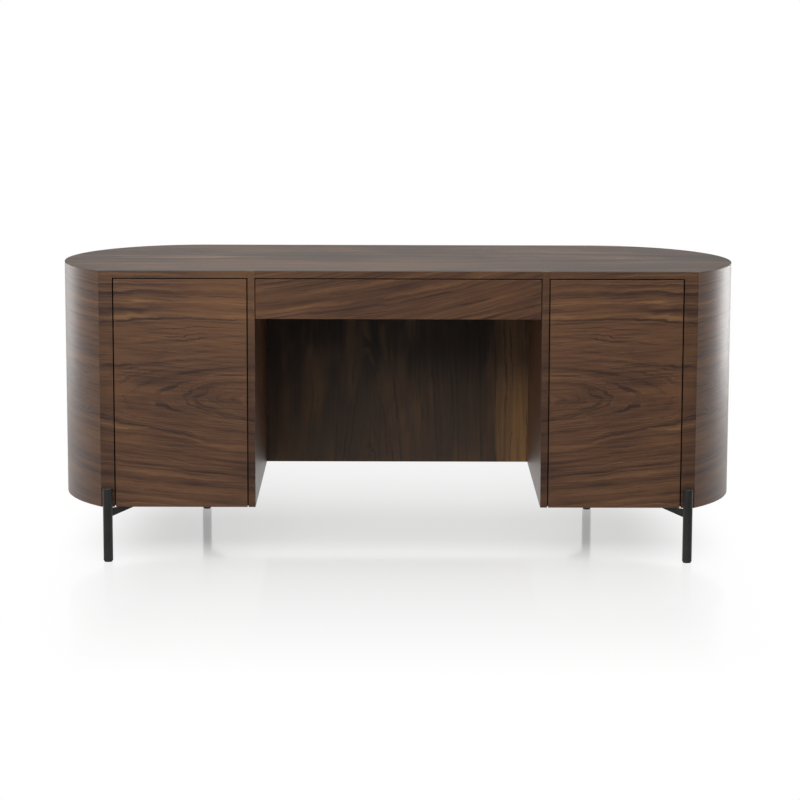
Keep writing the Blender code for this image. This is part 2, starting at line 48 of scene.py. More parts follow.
bpy.ops.object.select_all(action="DESELECT")
bpy.ops.object.camera_add(location=camera_place)
camera = bpy.context.object
camera.name = "viewpoint"
camera.data.lens = lens
camera.data.sensor_width = film_width
heading = (Matrix.Rotation(-turned_right, 4, "Z") @ Matrix.Rotation(pi / 2 - looking_down, 4, "X")
           @ Matrix.Rotation(rolled, 4, "Z"))
camera.matrix_world = Matrix.Translation(camera.location) @ heading
bpy.context.scene.camera = camera
bpy.context.scene.view_settings.view_transform = "Standard"


# Studio. A white polished floor that runs out into plain white, soft boxes overhead and in front
# to the left, a strip behind each end, and a low bright screen at the back, which the floor
# mirrors. Polished faces see the front half dim: fronts keep their brown, and ends take a sheen.

def linear(written):
    """Linear colour, with alpha, of an sRGB hex value."""
    parts = [int(written[i:i + 2], 16) / 255 for i in (1, 3, 5)]
    return *(c / 12.92 if c <= 0.04045 else ((c + 0.055) / 1.055) ** 2.4 for c in parts), 1.0


def add(tree, kind, inputs=(), out=0, stops=(), **settings):
    """Add one node with its settings, its links and a ramp's stops, and return one of its outputs.

    Inputs go in order, or by name or number. Each is a value, or an output of another node. A Mix
    has its share at 0, numbers at 2 and 3, and colours at 6 and 7, which come out at 2.
    """
    made = tree.nodes.new("ShaderNode" + kind)
    for name, value in settings.items():
        setattr(made, name, value)
    for name, value in inputs.items() if isinstance(inputs, dict) else enumerate(inputs):
        if isinstance(value, bpy.types.NodeSocket):
            tree.links.new(value, made.inputs[name])
        else:
            made.inputs[name].default_value = value
    if stops:
        ramp = made.color_ramp.elements
        for place, written in stops[1:-1]:
            ramp.new(place).color = linear(written)
        ramp[0].position, ramp[0].color = stops[0][0], linear(stops[0][1])
        ramp[-1].position, ramp[-1].color = stops[-1][0], linear(stops[-1][1])
    return made.outputs[out] if len(made.outputs) else None


def new_finish(name):
    """A material without nodes, and its tree."""
    finish = bpy.data.materials.new(name)
    finish.use_nodes = True
    finish.node_tree.nodes.clear()
    return finish, finish.node_tree


soft = {"interpolation_type": "SMOOTHSTEP"}     # for a fade without a hard start or end
floor_width = 60.0
# Where the floor's fades start and end, back from the middle of the desk, or sideways either way.
before_desk, under_front, past_back = (-1.55, -0.2), (-0.32, -0.06), (0.2, 1.9)     # back
under_ends, past_ends = (0.25, 0.55), (0.60, 0.94)                                  # sideways
dim_to_bright = (-1.2, 0.6)                     # back, as polished faces see the floor
shine_at_desk, shine_beneath, under_ends_times = 0.42, 0.18, 1.5

# Sealed white floor. A gloss coat over a white ground, with cloudy wear 25 mm across, mirrors what
# stands on it softly. The camera sees this floor near the desk, and a plain white glow elsewhere.
bpy.ops.mesh.primitive_plane_add(size=floor_width, location=(0, 0, 0))
floor = bpy.context.object
floor.name = "studio_floor"
white_floor, tree = new_finish("white_polished_floor")
place = add(tree, "TexCoord", out="Object")
x, y = add(tree, "SeparateXYZ", (place,), out=slice(0, 2))
outwards = add(tree, "Math", (x,), operation="ABSOLUTE")
shine = add(tree, "MapRange", (y, *before_desk, 0.0, shine_at_desk))
# Painted shadow: under the desk, and more under its ends, more of the shaded floor shows through
# the white glow, so the rendered shadow reads deeper.
beneath = add(tree, "MapRange", (y, *under_front, 0.0, shine_beneath), **soft)
stronger = add(tree, "MapRange", (outwards, *under_ends, 1.0, under_ends_times))
shine = add(tree, "Math", (beneath, stronger, shine), operation="MULTIPLY_ADD")
for fade in (add(tree, "MapRange", (y, *past_back, 1.0, 0.0)),
             add(tree, "MapRange", (outwards, *past_ends, 1.0, 0.0), **soft)):
    shine = add(tree, "Math", (shine, fade), operation="MULTIPLY")
fill = add(tree, "Math", (1.0, shine), operation="SUBTRACT")
cloud = add(tree, "TexNoise", {"Vector": place, "Scale": 40.0})
worn = add(tree, "MapRange", (cloud, 0.3, 0.7, 0.10, 0.14))
polish = add(tree, "BsdfPrincipled", {"Base Color": linear("#F5F5F4"), "Roughness": worn,
                                      "Coat Weight": 1.0, "Coat Roughness": 0.08})
by_camera = add(tree, "LightPath", out="Is Camera Ray")
by_gloss = add(tree, "LightPath", out="Is Glossy Ray")
# Painted reflection: to glossy rays the floor glows white, dim in front and bright behind.
seen_in_gloss = add(tree, "MapRange", (y, *dim_to_bright, 0.10, 1.0), **soft)
strength = add(tree, "Mix", {0: by_gloss, 2: 1.0, 3: seen_in_gloss})
plain = add(tree, "Emission", {"Color": linear("#FFFFFF"), "Strength": strength})
filled = add(tree, "Math", (by_camera, fill), operation="MULTIPLY")
share = add(tree, "Math", (filled, by_gloss), operation="MAXIMUM")
add(tree, "OutputMaterial", (add(tree, "MixShader", (share, polish, plain)),))
floor.data.materials.append(white_floor)

for name, place, size, aim, watts in (
        ("overhead_box", (0.0, -0.8, 3.4), (3.4, 2.2), (0.0, -0.1, 0.6), 80.0),
        ("front_box", (-1.8, -4.8, 2.5), (2.4, 1.6), (0.0, 0.0, 0.35), 78.0),
        ("left_strip", (-2.6, 2.0, 0.6), (1.1, 1.1), (-0.75, 0.0, 0.45), 9.0),
        ("right_strip", (2.6, 2.0, 0.6), (1.1, 1.1), (0.75, 0.0, 0.45), 19.0)):
    bpy.ops.object.light_add(type="AREA", location=place)
    lamp = bpy.context.object
    lamp.name = name
    lamp.data.shape = "RECTANGLE"
    lamp.data.size, lamp.data.size_y = size
    lamp.data.energy = watts
    lamp.visible_camera = False
    lamp.rotation_euler = (Vector(aim) - Vector(place)).to_track_quat("-Z", "Y").to_euler()

# The room is white to the camera, an even pale glow to matt faces, and to polished ones dim in
# front and low down, bright behind and overhead. Fades are in directions, as parts of one.
low_to_high, front_to_back = (0.05, 0.75), (-0.5, 0.3)
screen_side, screen_foot, screen_head = (0.13, 0.19), (0.15, 0.18), (0.24, 0.28)
room_glow, screen_glow = 0.30, 0.55

room = bpy.data.worlds.new("pale_room")
bpy.context.scene.world = room
room.use_nodes = True
tree = room.node_tree
tree.nodes.clear()
direction = add(tree, "TexCoord", out="Generated")
x, y, z = add(tree, "SeparateXYZ", (direction,), out=slice(0, 3))
above = add(tree, "MapRange", (z, *low_to_high, 0.21, 0.75), **soft)
behind = add(tree, "MapRange", (y, *front_to_back, 0.4, 1.0), **soft)
mirrored = add(tree, "Math", (above, behind), operation="MULTIPLY")
sideways = add(tree, "Math", (x,), operation="ABSOLUTE")
screen = add(tree, "MapRange", (sideways, *screen_side, screen_glow, 0.0), **soft)
for edge in (add(tree, "MapRange", (z, *screen_foot, 0.0, 1.0), **soft),
             add(tree, "MapRange", (z, *screen_head, 1.0, 0.0), **soft),
             add(tree, "Math", (y, 0.0), operation="GREATER_THAN")):
    screen = add(tree, "Math", (screen, edge), operation="MULTIPLY")
mirrored = add(tree, "Math", (screen, mirrored), operation="ADD")
by_gloss = add(tree, "LightPath", out="Is Glossy Ray")
level = add(tree, "Mix", {0: by_gloss, 2: room_glow, 3: mirrored})
level = add(tree, "Mix", {0: add(tree, "LightPath", out="Is Camera Ray"), 2: level, 3: 1.0})
glow = add(tree, "Background", {"Color": linear("#FFFFFF"), "Strength": level})
add(tree, "OutputWorld", (glow,))


# End shells. Two boards bent from thin plies over a form, veneered with flat-sliced American
# walnut and lacquered satin. The grain runs level round the end, on from the front. The log's
# rings show as streaks above and below a row of nested tongues, dark on mid brown and amber.

end_centre_x, end_centre_y, end_reach, end_depth = 0.5325, -0.0525, 0.360, 0.4025   # an ellipse
mean_radius = 0.381             # the length round an end is its angle times this
leaf_middle = 0.30              # from the middle of the desk
length_at_crease = 0.475        # from the leaf's middle
crease_angle = 0.8317
grain_fall = 0.07               # outwards, to the metre
outer_face_into = 0.1           # the place into the grain at the outer face
arris = 0.0006                  # rounding of the boards' arrises
mitre_foot = 0.72
mainly = 0.5                    # a face points along an axis where its normal has more than this


def walnut(name, lay, tones, heart, slice_depth, seed, streak="#2C201E", amber="#8A5F39",
           ring=0.0075, contrast=1.0, clouding=0.35, dull=0.40, edge=None):
    """Sliced walnut under satin lacquer: dark and amber streaks, and a sheen that fibres break up.

    lay gives four values: the place along, across and into the grain, and the share of pale
    sapwood. heart is where the middle line of the tongues lies across the sheet. slice_depth holds
    two places along the grain, and how far the slice has left the log's heart from the first to
    the second. ring is a year's growth. Lengths are in metres. Where an edge colour is given, the
    narrow faces that stand across the front take it as painted shade, so the gaps read dark. A
    lacquered pore is 0.15 mm wide and a fibre 0.02 mm: they are drawn 0.7 and 2.5 mm wide, as
    coarse as they need to be to show.
    """
    sway_by, wander_by, jag_by = 0.050, 0.022, 0.020        # how far each bends the rings
    seed_step = 3.1
    finish, tree = new_finish(name)
    along, across, into, pale = lay(tree)
    spot = add(tree, "CombineXYZ", (along, across, into))

    drawn = {}      # noises with these counts to the metre along, across and into the grain
    for number, (pattern, counts, detail, roughness) in enumerate((
            ("sway", (2.2, 6.0, 3.0), 2.0, 0.5), ("wander", (11.0, 24.0, 8.0), 3.0, 0.62),
            ("jag", (16.0, 40.0, 10.0), 2.0, 0.5), ("patch", (6.0, 20.0, 5.0), 2.0, 0.5),
            ("smudge", (7.0, 40.0, 8.0), 2.0, 0.55), ("fibre", (5.0, 400.0, 60.0), 3.0, 0.6),
            ("pores", (90.0, 1400.0, 200.0), 1.0, 0.5), ("warmth", (3.0, 10.0, 3.0), 2.0, 0.5),
            ("cloud", (2.5, 5.0, 3.0), 2.0, 0.5), ("thread", (7.0, 170.0, 20.0), 2.0, 0.6))):
        stretched = add(tree, "VectorMath", (spot, counts), operation="MULTIPLY")
        drawn[pattern] = add(tree, "TexNoise", {
            "Vector": stretched, "W": seed + seed_step * number, "Scale": 1.0, "Detail": detail,
            "Roughness": roughness}, noise_dimensions="4D")

    # Rings: how far a point of the sheet is from the log's heart, bent to and fro. The bands are
    # two rings wide, and the lines less than one.
    shift = add(tree, "Math", (drawn["sway"], sway_by, -sway_by / 2), operation="MULTIPLY_ADD")
    shift = add(tree, "Math", (drawn["wander"], wander_by, shift), operation="MULTIPLY_ADD")
    shift = add(tree, "Math", (shift, wander_by / 2 + heart), operation="SUBTRACT")
    off_heart = add(tree, "Math", (across, shift), operation="ADD")
    from_heart, to_heart, rise = slice_depth
    depth = add(tree, "MapRange", (along, from_heart, to_heart, -jag_by / 2, rise - jag_by / 2),
                **soft)
    depth = add(tree, "Math", (drawn["jag"], jag_by, depth), operation="MULTIPLY_ADD")
    off_axis = add(tree, "CombineXYZ", (off_heart, depth, 0.0))
    radius = add(tree, "VectorMath", (off_axis,), out="Value", operation="LENGTH")
    lower_side = add(tree, "MapRange", (off_heart, -0.03, 0.03, 0.0, 0.9), **soft)
    years = add(tree, "Math", (radius, 1 / ring, lower_side), operation="MULTIPLY_ADD")
    bands = add(tree, "TexNoise", {"W": years, "Scale": 0.45, "Detail": 6.0, "Roughness": 0.62},
                noise_dimensions="1D")
    other_years = add(tree, "Math", (years, 40.0 + seed), operation="ADD")
    lines = add(tree, "TexNoise", {"W": other_years, "Scale": 1.4, "Detail": 2.5},
                noise_dimensions="1D")
    plainer = add(tree, "MapRange", (off_heart, -0.17, -0.06, 0.55, 1.0), **soft)

    # Colour: bands, fibres, sapwood and warmth, then thin dark streaks, broken along their length.
    patch = add(tree, "MapRange", (drawn["patch"], 0.36, 0.64, 0.20 * contrast, 1.05 * contrast),
                **soft)
    patch = add(tree, "Math", (patch, plainer), operation="MULTIPLY")
    tone = add(tree, "Math", (bands, 0.5), operation="SUBTRACT")
    tone = add(tree, "Math", (tone, patch, 0.5), operation="MULTIPLY_ADD")
    for pattern, much in (("fibre", 0.46), ("thread", 0.34), ("cloud", clouding)):
        off_middle = add(tree, "Math", (drawn[pattern], 0.5), operation="SUBTRACT")
        tone = add(tree, "Math", (off_middle, much, tone), operation="MULTIPLY_ADD")
    wood = add(tree, "ValToRGB", (tone,), stops=tones)
    warm = add(tree, "MapRange", (drawn["warmth"], 0.48, 0.68, 0.0, 0.30), **soft)
    warm = add(tree, "Math", (warm, pale), operation="ADD", use_clamp=True)
    thin = add(tree, "MapRange", (lines, 0.53, 0.66), **soft)
    thin = add(tree, "Math", (thin, plainer), operation="MULTIPLY")
    broken = add(tree, "MapRange", (drawn["smudge"], 0.42, 0.60, 0.08, 0.70), **soft)
    dark = add(tree, "Math", (thin, broken), operation="MULTIPLY")
    pore = add(tree, "MapRange", (drawn["pores"], 0.60, 0.72), **soft)
    stained = add(tree, "Math", (pore, 0.35), operation="MULTIPLY")
    for much, colour in ((warm, amber), (dark, streak), (stained, streak)):
        wood = add(tree, "Mix", {0: much, 6: wood, 7: linear(colour)}, out=2, data_type="RGBA")
    # Painted shade: the narrow faces across the front take a dark colour, so the gaps read black.
    if edge:        # This normal turns with a door, where Geometry's would not.
        facing = add(tree, "SeparateXYZ", (add(tree, "TexCoord", out="Normal"),), out="Y")
        facing = add(tree, "Math", (facing,), operation="ABSOLUTE")
        on_edge = add(tree, "Math", (facing, mainly), operation="LESS_THAN")
        wood = add(tree, "Mix", {0: on_edge, 6: wood, 7: linear(edge)}, out=2, data_type="RGBA")

    sheen = add(tree, "Math", (drawn["fibre"], 0.12, dull - 0.06), operation="MULTIPLY_ADD")
    relief = add(tree, "Math", (drawn["fibre"], 0.4), operation="MULTIPLY")
    relief = add(tree, "Math", (relief, pore), operation="SUBTRACT")
    bump = add(tree, "Bump", {"Height": relief, "Strength": 0.2, "Distance": 0.0003})
    shader = add(tree, "BsdfPrincipled", {"Base Color": wood, "Roughness": sheen, "IOR": 1.5,
                                          "Normal": bump})
    add(tree, "OutputMaterial", (shader,))
    return finish


def round_the_ends(tree):
    """Along: the length round the ellipse, on from the front. It starts at the leaf's middle."""
    place = add(tree, "TexCoord", out="Object")
    x, y, z = add(tree, "SeparateXYZ", (place,), out=slice(0, 3))
    outwards = add(tree, "Math", (x,), operation="ABSOLUTE")
    reach = add(tree, "Math", (outwards, end_centre_x), operation="SUBTRACT")
    share_x = add(tree, "Math", (reach, end_reach), operation="DIVIDE")
    depth = add(tree, "Math", (y, end_centre_y), operation="SUBTRACT")
    share_y = add(tree, "Math", (depth, end_depth), operation="DIVIDE")
    angle = add(tree, "Math", (share_y, share_x), operation="ARCTAN2")
    length_at_side = length_at_crease + crease_angle * mean_radius
    along = add(tree, "Math", (angle, mean_radius, length_at_side), operation="MULTIPLY_ADD")
    across = add(tree, "Math", (along, -grain_fall, z), operation="MULTIPLY_ADD")
    shares = add(tree, "CombineXYZ", (share_x, share_y, 0.0))
    into = add(tree, "VectorMath", (shares,), out="Value", operation="LENGTH")
    return along, across, add(tree, "Math", (into, outer_face_into), operation="MULTIPLY"), 0.0


def as_board(name, replaced, wanted):
    """A merged copy of a CAD board that stands for it, with arrises that pass a test rounded."""
    merge_within, flat_within, sharp, smooth_under = 0.00001, radians(0.5), radians(40), radians(30)
    bpy.ops.object.select_all(action="DESELECT")
    board = bpy.data.objects.new(name, cad[replaced].data.copy())
    bpy.context.scene.collection.objects.link(board)
    board.select_set(True)
    bpy.context.view_layer.objects.active = board
    bpy.ops.object.mode_set(mode="EDIT")
    bpy.ops.mesh.select_all(action="SELECT")
    bpy.ops.mesh.remove_doubles(threshold=merge_within)
    bpy.ops.mesh.dissolve_limited(angle_limit=flat_within)
    bpy.ops.mesh.select_mode(type="EDGE")
    bpy.ops.mesh.select_all(action="DESELECT")
    shape = bmesh.from_edit_mesh(board.data)
    for line in shape.edges:
        line.select = (line.is_manifold and line.calc_face_angle() > sharp
                       and all(wanted(end.co) for end in line.verts))
    bmesh.update_edit_mesh(board.data)
    bpy.ops.mesh.bevel(offset=arris, segments=2, affect="EDGES", clamp_overlap=True)
    bpy.ops.object.mode_set(mode="OBJECT")
    bpy.ops.object.shade_smooth_by_angle(angle=smooth_under)
    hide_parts(replaced)
    return board


def finished(piece, slot, body, *finishes):
    """Give a new piece its materials, and let it ride on a body."""
    piece.data.materials.clear()
    for finish in finishes:
        piece.data.materials.append(finish)
    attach(piece, body)


def low_edge(end):
    """True below the mitre and off the boards' meeting faces."""
    return end.z < mitre_foot


front_leaf = {"heart": 0.420, "slice_depth": (-0.10, 0.52, 0.10), "seed": 1.3}
front_tones = ((0.30, "#37251D"), (0.42, "#4F3526"), (0.52, "#62422D"), (0.62, "#6F4D33"),
               (0.76, "#85613D"))
end_veneer = walnut("walnut_veneer_round_the_ends", round_the_ends, front_tones,
                    streak="#3A2A24", contrast=0.6, **front_leaf)
for side in ("left", "right"):
    shell = as_board(side + "_bent_end", side + "_end_shell", low_edge)
    finished(shell, "walnut_veneer", "casing", end_veneer)


# Stiles and head rails. Solid-lipped strips, veneered with the same sheet as the doors, so streaks
# cross from one to the other. They are glued behind the face edges of top and gables. Their edges
# take painted shade, a dark colour, so the gaps read as black lines.

paler_above, paler_inside, less_pale_to_right = (0.50, 0.68), (0.10, 0.40), (-0.2, 0.6)


def level_on_front(tree):
    """Along: the distance from the leaf's middle, alike on the left and right, as a book opens."""
    place = add(tree, "TexCoord", out="Object")
    x, y, z = add(tree, "SeparateXYZ", (place,), out=slice(0, 3))
    outwards = add(tree, "Math", (x,), operation="ABSOLUTE")
    along = add(tree, "Math", (outwards, leaf_middle), operation="SUBTRACT")
    across = add(tree, "Math", (along, -grain_fall, z), operation="MULTIPLY_ADD")
    high = add(tree, "MapRange", (z, *paler_above, 0.0, 0.40), **soft)
    inner = add(tree, "MapRange", (along, *paler_inside, 1.0, 0.0), **soft)
    on_left = add(tree, "MapRange", (x, *less_pale_to_right, 1.0, 0.45), **soft)
    pale = add(tree, "Math", (high, inner), operation="MULTIPLY")
    return along, across, y, add(tree, "Math", (pale, on_left), operation="MULTIPLY")


stile_tones = ((0.30, "#32211B"), (0.42, "#463022"), (0.52, "#573928"), (0.62, "#63452F"),
               (0.76, "#765638"))
# Painted shade for the edges of the fronts, which makes the gaps between them read black.
painted_gap_shade = "#17100C"
stile_veneer = walnut("walnut_veneer_stiles", level_on_front, stile_tones, edge=painted_gap_shade,
                      **front_leaf)
for name in ("left_stile", "right_stile", "left_door_head_rail", "right_door_head_rail"):
    cad[name].data.materials[0] = stile_veneer


# Back panel. It closes the casing and the knee-hole, glued into the mitre under the top. Inside it
# has dark upright veneer with one strip of amber sapwood near the right gable. The drawer's shadow
# on it is painted: above a line at 0.33 to 0.46 m the strip fades, and below it the panel is
# painted lighter. Outside the grain runs level, on from the ends.

strip_edge, strip_bright_edge = (0.278, 0.296), (0.322, 0.338)      # outwards from the middle
# Heights of the drawer's painted shadow line: the strip fades above it, and the panel is painted
# lighter below.
strip_painted_shade_above, painted_light_below = (0.33, 0.46), (0.34, 0.46)          # heights
edge_wander = 0.05
length_at_back_middle = 1.923                                       # from the leaf's middle, round
upright_leaf = {"heart": -0.08, "slice_depth": (-0.3, 1.2, 0.15), "ring": 0.012}


def upright_on_back(tree):
    """Along: up the panel. The sapwood's edges wander, and its fibres are 6 mm apart."""
    place = add(tree, "TexCoord", out="Object")
    x, y, z = add(tree, "SeparateXYZ", (place,), out=slice(0, 3))
    stretched = add(tree, "VectorMath", (place, (9.0, 1.0, 2.5)), operation="MULTIPLY")
    uneven = add(tree, "TexNoise", {"Vector": stretched, "Scale": 1.0, "Detail": 3.0})
    inwards = add(tree, "Math", (x, edge_wander / 2), operation="SUBTRACT")
    from_middle = add(tree, "Math", (uneven, edge_wander, inwards), operation="MULTIPLY_ADD")
    strip = add(tree, "MapRange", (from_middle, *strip_edge, 0.0, 0.64), **soft)
    brighter = add(tree, "MapRange", (from_middle, *strip_bright_edge, 0.0, 0.30), **soft)
    strip = add(tree, "Math", (strip, brighter), operation="ADD")
    stretched = add(tree, "VectorMath", (place, (170.0, 1.0, 4.0)), operation="MULTIPLY")
    fibres = add(tree, "TexNoise", {"Vector": stretched, "Scale": 1.0, "Detail": 2.0})
    fibres = add(tree, "MapRange", (fibres, 0.35, 0.60, 0.6, 1.0))
    # Painted shade and light: above the drawer's shadow line the strip fades, and below it the
    # panel is painted lighter.
    painted_shade_above = add(tree, "MapRange", (z, *strip_painted_shade_above, 1.0, 0.25), **soft)
    for fade in (fibres, painted_shade_above):
        strip = add(tree, "Math", (strip, fade), operation="MULTIPLY")
    painted_light_low = add(tree, "MapRange", (z, *painted_light_below, 0.11, 0.0), **soft)
    return z, x, y, add(tree, "Math", (strip, painted_light_low), operation="MAXIMUM")


def level_on_back(tree):
    """Along: on from the end of the bent ends to the middle, where the leaves meet."""
    place = add(tree, "TexCoord", out="Object")
    x, _, z = add(tree, "SeparateXYZ", (place,), out=slice(0, 3))
    outwards = add(tree, "Math", (x,), operation="ABSOLUTE")
    along = add(tree, "Math", (length_at_back_middle, outwards), operation="SUBTRACT")
    across = add(tree, "Math", (along, -grain_fall, z), operation="MULTIPLY_ADD")
    return along, across, outer_face_into, 0.0


dark_tones = ((0.30, "#150C08"), (0.45, "#25170F"), (0.58, "#372316"), (0.76, "#523823"))
inner_back_veneer = walnut("walnut_veneer_back_panel_inside", upright_on_back, dark_tones,
                           seed=2.6, streak="#22170F", amber="#946C40", contrast=0.7,
                           clouding=0.6, dull=0.48, **upright_leaf)
outer_back_veneer = walnut("walnut_veneer_back_panel_outside", level_on_back, front_tones,
                           **front_leaf)
back = as_board("closing_back", "back_panel", low_edge)
finished(back, "walnut_veneer", "casing", inner_back_veneer, outer_back_veneer)
for face in back.data.polygons:
    face.material_index = int(face.normal.y > mainly)


# Gables. The knee-hole's sides, which carry the drawer's runners. Upright veneer inside, and level
# grain on the front edges, which are lipped with the doors' sheet.

gable_foot, back_panel_face = 0.143, 0.33
fleck_place, fleck_counts = (-0.372, 0.02, 0.42), (40.0, 34.0, 55.0)    # one over its half sizes


def upright_on_gable(tree):
    """Along: up the gable. The left one has a small pale amber fleck towards the back."""
    place = add(tree, "TexCoord", out="Object")
    x, y, z = add(tree, "SeparateXYZ", (place,), out=slice(0, 3))
    off_fleck = add(tree, "VectorMath", (place, fleck_place), operation="SUBTRACT")
    off_fleck = add(tree, "VectorMath", (off_fleck, fleck_counts), operation="MULTIPLY")
    off_fleck = add(tree, "VectorMath", (off_fleck,), out="Value", operation="LENGTH")
    return z, y, x, add(tree, "MapRange", (off_fleck, 0.5, 1.1, 0.9, 0.0), **soft)


def foot_edge(end):
    """True along the foot of a gable, in front of the back panel."""
    return end.z < gable_foot and end.y < back_panel_face


gable_veneer = walnut("walnut_veneer_gables", upright_on_gable, front_tones, seed=5.6,
                      streak="#2E2019", amber="#8A6A48", **upright_leaf)
lipping_tones = ((0.30, "#2A1C18"), (0.42, "#3E2A20"), (0.52, "#4E3325"), (0.62, "#5A3E2B"),
                 (0.76, "#6C4E34"))
lipping_veneer = walnut("walnut_lipping_gables", level_on_front, lipping_tones, **front_leaf)
for side in ("left", "right"):
    gable = as_board("knee_hole_side_" + side, side + "_gable", foot_edge)
    finished(gable, "walnut_veneer", "casing", gable_veneer, lipping_veneer)
    for face in gable.data.polygons:
        face.material_index = int(face.normal.y < -mainly)


# Desktop. One veneered board, mitred to the ends and back. The leaves run the width of the desk,
# nearly quarter-sliced, so the figure is straight and soft, with a few darker streaks.

level_leaf = {"heart": 0.02, "slice_depth": (-1.5, 2.5, 0.20), "ring": 0.011}


def along_desk(tree):
    """Along: the width of the desk."""
    place = add(tree, "TexCoord", out="Object")
    return *add(tree, "SeparateXYZ", (place,), out=slice(0, 3)), 0.0


top_tones = ((0.34, "#20150E"), (0.46, "#3C291E"), (0.56, "#594130"), (0.70, "#806145"))
top_veneer = walnut("walnut_veneer_top", along_desk, top_tones, seed=4.2, streak="#1E140F",
                    amber="#6B5032", contrast=1.5, **level_leaf)
cad["desktop"].data.materials[0] = top_veneer


# Insides of the cupboards. Floors and hinge sides of veneered board, dowelled and glued in, and
# shelves that lie loose on pins. Their walnut is a shade darker and plainer than the fronts.

layer_change = 3.0              # how much faster the figure changes from board to board, upwards


def level_inside(tree):
    """Along: the width of the desk, on boards that lie flat."""
    place = add(tree, "TexCoord", out="Object")
    x, y, z = add(tree, "SeparateXYZ", (place,), out=slice(0, 3))
    return x, y, add(tree, "Math", (z, layer_change), operation="MULTIPLY"), 0.0


inside_tones = ((0.30, "#2E2018"), (0.45, "#3E2A1E"), (0.58, "#4D3626"), (0.76, "#604531"))
inside_streaks = {"streak": "#241A14", "amber": "#5E4426"}
lying_veneer = walnut("dark_walnut_veneer_lying", level_inside, inside_tones, seed=8.8,
                      **inside_streaks, **level_leaf)
standing_veneer = walnut("dark_walnut_veneer_standing", upright_on_gable, inside_tones, seed=9.4,
                         **inside_streaks, **upright_leaf)
for side in ("left", "right"):
    cad[side + "_cupboard_floor"].data.materials[0] = lying_veneer
    cad[side + "_shelf"].data.materials[0] = lying_veneer
    cad[side + "_hinge_side"].data.materials[0] = standing_veneer


# Shelf pins and hinges. Pins turned from steel, hinges pressed and die-cast, all plated with bright
# nickel over a polished ground. Each hinge has a cup in the door, a bent link and an arm.

def metal(name, tones, counts, rough, relief):
    """Plated metal with faint marks of its making, drawn by noise of these counts to the metre."""
    finish, tree = new_finish(name)
    place = add(tree, "TexCoord", out="Object")
    stretched = add(tree, "VectorMath", (place, counts), operation="MULTIPLY")
    marks = add(tree, "TexNoise", {"Vector": stretched, "Scale": 1.0, "Detail": 4.0,
                                   "Roughness": 0.6})
    colour = add(tree, "ValToRGB", (marks,), stops=tones)
    sheen = add(tree, "MapRange", (marks, 0.3, 0.7, *rough))
    bump = add(tree, "Bump", {"Height": marks, "Strength": relief, "Distance": 0.0001})
    shader = add(tree, "BsdfPrincipled", {"Base Color": colour, "Metallic": 1.0,
                                          "Roughness": sheen, "Normal": bump})
    add(tree, "OutputMaterial", (shader,))
    return finish


# Nickel is a warm white gloss. Its polishing marks are 0.1 mm apart and drawn 1 mm apart, to show.
nickel_plate = metal("bright_nickel_plate", ((0.3, "#B5B0A6"), (0.7, "#CBC7BE")),
                     counts=(900.0, 900.0, 250.0), rough=(0.20, 0.32), relief=0.15)
for side in ("left", "right"):
    for row in ("gable_front", "gable_back", "side_front", "side_back"):
        cad[f"{side}_{row}_shelf_pin"].data.materials[0] = nickel_plate
    for level in ("upper", "lower"):
        for part in ("arm", "link", "cup"):
            cad[f"{side}_{level}_hinge_{part}"].data.materials[0] = nickel_plate


# Screws of the hinges. Chipboard screws with flat round heads and a cross recess, cold-formed and
# zinc-plated. The thread stands as rings round the shank. Two hold each arm, two each cup.

head_radius, head_height, head_rounding = 0.0032, 0.0015, 0.0009
shank_radius, thread_radius, half_pitch, turns = 0.0013, 0.0018, 0.0007, 7
tip_length, tip_share = 0.0012, 0.15
recess_length, recess_width, recess_height = 0.0036, 0.0010, 0.0022
head_facets, round_smoothing = 24, radians(35)

# Zinc is a bluish grey with a faint yellow passivated bloom, in patches 6 mm across.
zinc_plate = metal("zinc_plate_passivated",
                   ((0.3, "#9A9EA3"), (0.55, "#B2B5B8"), (0.75, "#BDB9A8")),
                   counts=(160.0, 160.0, 160.0), rough=(0.30, 0.44), relief=0.10)


def pick_faces(model, way):
    """In edit mode, select only the faces that point up, way 1, or down, way -1."""
    squarely = 0.9
    shape = bmesh.from_edit_mesh(model.data)
    for face in shape.faces:
        face.select = face.normal.z * way > squarely
    shape.select_flush_mode()
    bmesh.update_edit_mesh(model.data)


bpy.ops.object.select_all(action="DESELECT")
bpy.ops.mesh.primitive_cylinder_add(vertices=head_facets, radius=head_radius, depth=head_height,
                                    location=(0, 0, head_height / 2))
screw = bpy.context.object
screw.name = "chipboard_screw"
bpy.ops.object.transform_apply()
bpy.ops.object.mode_set(mode="EDIT")
bpy.ops.mesh.select_mode(type="FACE")
pick_faces(screw, 1)
bpy.ops.mesh.bevel(offset=head_rounding, segments=3, affect="EDGES")
pick_faces(screw, -1)
bpy.ops.mesh.inset(thickness=head_radius - shank_radius)
for turn in range(turns):
    for growth in (thread_radius / shank_radius, shank_radius / thread_radius):
        bpy.ops.mesh.extrude_region_move(TRANSFORM_OT_translate={"value": (0, 0, -half_pitch)})
        bpy.ops.transform.resize(value=(growth, growth, 1))
bpy.ops.mesh.extrude_region_move(TRANSFORM_OT_translate={"value": (0, 0, -tip_length)})
bpy.ops.transform.resize(value=(tip_share, tip_share, 1))
bpy.ops.object.mode_set(mode="OBJECT")

